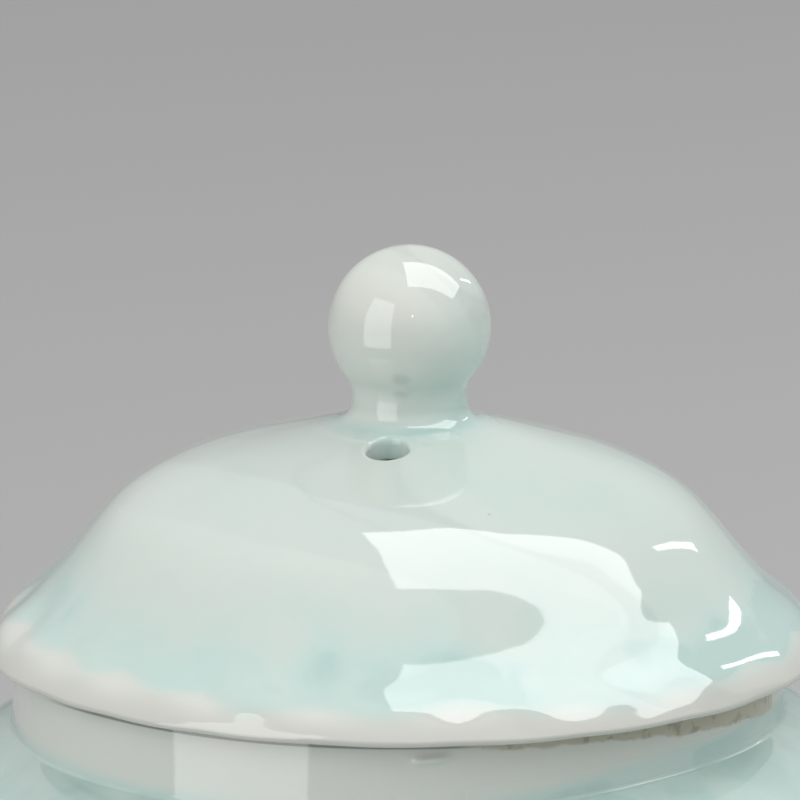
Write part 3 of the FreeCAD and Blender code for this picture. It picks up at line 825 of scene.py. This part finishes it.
sj = meet(SC, (NX, NZ), SR_, FIL)
lj = meet(LC, (WX, WZ), LR_, WR_)
foot_r = WX - math.sqrt(WR_ ** 2 - (4.2 - WZ) ** 2)
outer = chain(arc(48.1, 160.3, 1.7, 90, 0, 9), seg((49.8, 160.3), (49.8, NZ), 40),
              arc(NX, NZ, FIL, 180, ang((NX, NZ), sj) % 360, 14),
              arc(SC[0], SC[1], SR_, ang(SC, sj), 0, 84),
              arc(LC[0], LC[1], LR_, 0, ang(LC, lj), 66),
              arc(WX, WZ, WR_, ang((WX, WZ), lj) % 360, ang((WX, WZ), (foot_r, 4.2)) % 360, 26))
foot = chain([outer[-1]], arc(foot_r - 0.9, 4.2, 0.9, 0, -70, 5), seg((49.0, 3.3), (49.0, 1.0), 5),
             arc(48.0, 1.0, 1.0, 0, -90, 6), seg((48.0, 0.0), (44.5, 0.0), 7),
             arc(44.5, 1.0, 1.0, 270, 180, 6), seg((43.5, 1.0), (43.1, 2.6), 4), seg((43.1, 2.6), (42.4, 3.0), 3),
             seg((42.4, 3.0), (0.0, 3.05), 26))
fc_z = 8.5 + 3.6
iw = WR_ + WALL
fcx = WX - math.sqrt((iw + 3.6) ** 2 - (fc_z - WZ) ** 2)
fj = meet((fcx, fc_z), (WX, WZ), 3.6, iw)
il = LR_ - WALL
ij = meet(LC, (WX, WZ), il, iw)
ish = SR_ - WALL
isj = meet(SC, (IX, IZ), ish, IFIL)
inner = chain(seg((0.0, 8.5), (fcx, 8.5), 24), arc(fcx, fc_z, 3.6, -90, ang((fcx, fc_z), fj), 8),
              arc(WX, WZ, iw, ang((WX, WZ), fj) % 360, ang((WX, WZ), ij) % 360, 14),
              arc(LC[0], LC[1], il, ang(LC, ij), 0, 44), arc(SC[0], SC[1], ish, 0, ang(SC, isj), 44),
              arc(IX, IZ, IFIL, ang((IX, IZ), isj) % 360, 180, 8), seg((45.9, IZ), (45.9, 160.3), 10),
              arc(47.6, 160.3, 1.7, 180, 90, 9))
outer_top = (48.1, 162.0)
jar_profile = chain(inner, [outer_top], outer, foot)
N_IN = len(inner)
N_JAR = 480


def shape_jar(p, n, out):
    """Slow waviness of a hand-thrown wall, and faint throwing rings; the inside follows the outside."""
    z = p[:, 2]
    a = np.radians(azimuth(p))
    hand = 0.16 * ripple(p * [1, 1, 1.4], SLOW) + 0.035 * ripple(p, MID)
    rings = 0.035 * np.sin(2 * np.pi * (z + 3.0 * a / (2 * np.pi)) / 6.1) * (0.5 + 0.5 * np.sin(z / 17.0 + 1.0))
    calm = smooth01((z - 2.0) / 10.0) * (1 - 0.93 * smooth01((z - 144.0) / 7.0))
    d = (hand + rings) * calm
    q = p + n * (d * np.where(out > 0.5, 1.0, -0.8))[:, None]
    # a bead of glaze on the neck, under the lid's edge
    bead = 0.64 * np.exp(-(((azimuth(p) - 4.6) / 2.6) ** 4) - ((z - 157.2 - 0.05 * azimuth(p)) / 0.42) ** 2 / 2)
    q += n * (bead * (out > 0.5) * (z > 120))[:, None]
    # the neck came out a millimetre off centre, and the shoulder stands higher on the +X side
    r = np.hypot(p[:, 0], p[:, 1])
    lean = np.where(out > 0.5, 0.4 + 0.6 * np.where(z > 155.0, smooth01((r - 47.6) / 1.6), 1.0), 0.4)
    q[:, 0] -= 0.9 * lean * smooth01((z - 118.0) / 30.0)
    side = smooth01((p[:, 0] + 4.0) / 46.0)
    q[:, 2] += 2.0 * side * smooth01((z - 118.0) / 26.0) * (1 - smooth01((z - 152.5) / 7.5))
    return q


def build_jar():
    nr = profile_normals(jar_profile, N_JAR)
    k = int(np.argmax(jar_profile[:, 0]))
    if nr[k][:, 0] @ np.sin(np.radians(-180.0 + 360.0 * np.arange(N_JAR) / N_JAR)) < 0:
        nr = -nr
    g = revolve(jar_profile, N_JAR)
    b = Builder()
    rings = []
    last = len(jar_profile) - 1
    for i in range(len(jar_profile)):
        if i in (0, last):
            rings.append(int(b.points([[0, 0, jar_profile[i][1]]], [[0, 0, 1.0 if i == 0 else -1.0]], 0)[0]))
        else:
            rings.append(b.points(g[i], nr[i], 1.0 if i >= N_IN else 0.0))
    for i in range(last):
        u, v = rings[i], rings[i + 1]
        (r0, z0), (r1, z1) = jar_profile[i], jar_profile[i + 1]
        bare = i >= N_IN and max(z0, z1) < 3.6 and min(r0, r1) > 42.9
        if isinstance(u, int):
            b.fan(v, u, 0)
        elif isinstance(v, int):
            b.fan(u, v, 0)
        else:
            b.quads(u, v, 1 if bare else 0)
    p, nn, o = b.arrays()
    faces = [tuple(int(x) for x in f) for f in b.f]
    faces, _ = orient(p, faces, 0)
    q = shape_jar(p, nn, o)
    f = faces[0]
    if np.cross(q[f[1]] - q[f[0]], q[f[2]] - q[f[0]])[2] < 0:   # the first face is the inside floor, which looks up
        faces = [f[::-1] for f in faces]
    return make_object("jar_body_glazed", q, faces, [M_JAR, M_BARE], b.m, vertex_normals(q, faces), {"outer": o})


jar_ob = build_jar()

# --------------------------------------------------------------- bodies
for ob, body, node, slot in ((jar_ob, "jar", "jar_body", "glazed_porcelain"),
                             (dome_ob, "lid", "lid_dome", "glazed_porcelain"),
                             (knob_ob, "lid", "lid_knob", "glazed_porcelain"),
                             (flange_ob, "lid", "lid_flange", "bare_porcelain")):
    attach(ob, body)
    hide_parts(node)

# --------------------------------------------------------------- stage, light, camera
SKY = 0.64          # radiance of the room overhead; the horizon is the grey of the floor
FLOOR = 0.435
def flat_material(name, color, rough=0.9):
    k = Nodes(name)
    co = k.new("ShaderNodeTexCoord").outputs["Object"]
    n = k.noise(co, 3.0, 2.0, 0.5)
    bsdf = k.new("ShaderNodeBsdfPrincipled")
    k.put(bsdf.inputs["Base Color"], k.mix(k.math("MULTIPLY", n, 0.05), color, tuple(c * 0.9 for c in color)))
    bsdf.inputs["Roughness"].default_value = rough
    bsdf.inputs["Specular IOR Level"].default_value = 0.2
    k.put(k.out.inputs["Surface"], bsdf.outputs[0])
    return k.mat


def floor_mesh(size):
    me = bpy.data.meshes.new("floor")
    n = 24
    v = [((i / n - 0.5) * size, (j / n - 0.5) * size, 0.0) for j in range(n + 1) for i in range(n + 1)]
    f = [(j * (n + 1) + i, j * (n + 1) + i + 1, (j + 1) * (n + 1) + i + 1, (j + 1) * (n + 1) + i) for j in range(n) for i in range(n)]
    me.from_pydata(v, [], f)
    me.materials.append(flat_material("pale_floor", (FLOOR, FLOOR, FLOOR)))
    ob = bpy.data.objects.new("floor", me)
    bpy.context.scene.collection.objects.link(ob)
    return ob


floor = floor_mesh(24.0)

world = bpy.data.worlds.new("studio")
world.use_nodes = True
wt = world.node_tree
bg = wt.nodes["Background"]
bg.inputs[0].default_value = (1.0, 1.0, 1.0, 1.0)
way = wt.nodes.new("ShaderNodeTexCoord")
split = wt.nodes.new("ShaderNodeSeparateXYZ")
wt.links.new(way.outputs["Generated"], split.inputs[0])
sky = wt.nodes.new("ShaderNodeMapRange")
sky.interpolation_type = "SMOOTHSTEP"
for key, val in zip(("From Min", "From Max", "To Min", "To Max"), (0.03, 0.40, 0.376, SKY)):
    sky.inputs[key].default_value = val
wt.links.new(split.outputs["Z"], sky.inputs["Value"])
wt.links.new(sky.outputs["Result"], bg.inputs[1])
bpy.context.scene.world = world
bpy.context.scene.view_settings.view_transform = "Standard"

TARGET = Vector((0.0, 0.0, 0.175))


def area(name, centre, size, power, look=None, rot=None, color=(1, 1, 1), diffuse=True, glossy=True):
    li = bpy.data.lights.new(name, "AREA")
    li.shape = "RECTANGLE"
    li.size, li.size_y = size
    li.energy = power
    li.color = color
    ob = bpy.data.objects.new(name, li)
    ob.location = centre
    if rot is not None:
        ob.rotation_euler = rot
    else:
        ob.rotation_euler = ((look or TARGET) - Vector(centre)).to_track_quat("-Z", "Y").to_euler()
    ob.visible_camera = False
    ob.visible_diffuse = diffuse
    ob.visible_glossy = glossy
    bpy.context.scene.collection.objects.link(ob)
    return ob


def radiance(size, value):
    """Watts for a one-sided rectangular lamp of this size that is to look this bright."""
    return value * math.pi * size[0] * size[1]


# large overhead softbox, out to the right: its reflection, and its softer share of the light
S = (1.17, 0.64)
TURN = math.radians(6.0)
area("softbox_main", (0.528, 0.060, 0.97), S, radiance(S, 2.8), rot=(0, 0, TURN), diffuse=False)
area("softbox_fill", (0.535, 0.060, 0.97), S, radiance(S, 2.8), rot=(0, 0, TURN), glossy=False)
# window at the front left: a close panel for its reflection, a far one for its light
S = (0.378, 0.644)
area("window_pane", (-0.360, -0.3475, 0.328), S, radiance(S, 1.45), look=Vector((0.0, 0.0, 0.328)), diffuse=False)
S = (1.70, 2.45)
area("window_left", (-1.39, -1.44, 1.28), S, radiance(S, 1.62), look=Vector((0.0, 0.0, 1.28)), glossy=False)
# small lamp above the camera
S = (0.05, 0.05)
area("pin_lamp", (0.09, -1.08, 0.71), S, radiance(S, 9.0), diffuse=False)
# pale wall on the right, light only
S = (1.6, 1.6)
area("wall_right", (1.50, -0.10, 1.60), S, radiance(S, 1.45), look=Vector((0.0, 0.0, 0.25)), glossy=False)


def strip(name, a, b, width, value):
    """A thin lamp from a to b whose face looks at the jar."""
    a, b = Vector(a), Vector(b)
    mid = (a + b) / 2
    along = (b - a).normalized()
    face = (TARGET - mid).normalized()
    side = face.cross(along).normalized()
    face = along.cross(side)
    m = Matrix((side, along, -face)).transposed()
    size = (width, (b - a).length)
    return area(name, mid, size, radiance(size, value), rot=m.to_euler(), diffuse=False)


# bright slit behind on the right, between the softbox and the wall
strip("slit_back", (1.02, 0.79, 0.98), (0.95, 1.10, 0.66), 0.050, 5.5)

cam = bpy.data.cameras.new("camera")
cam.sensor_width = 36.0
cam.lens = 8520.0 / 800.0 * 36.0
cam.clip_start, cam.clip_end = 0.05, 60.0
cam_ob = bpy.data.objects.new("camera", cam)
E0, PITCH, YAW, DIST = math.radians(13.98), math.radians(12.347), math.radians(-0.037), 1.100
cam_ob.location = (0.0, -DIST * math.cos(E0), RIM_Z * MM + DIST * math.sin(E0))
cam_ob.rotation_euler = (math.pi / 2 - PITCH, 0.0, -YAW)
bpy.context.scene.collection.objects.link(cam_ob)
bpy.context.scene.camera = cam_ob
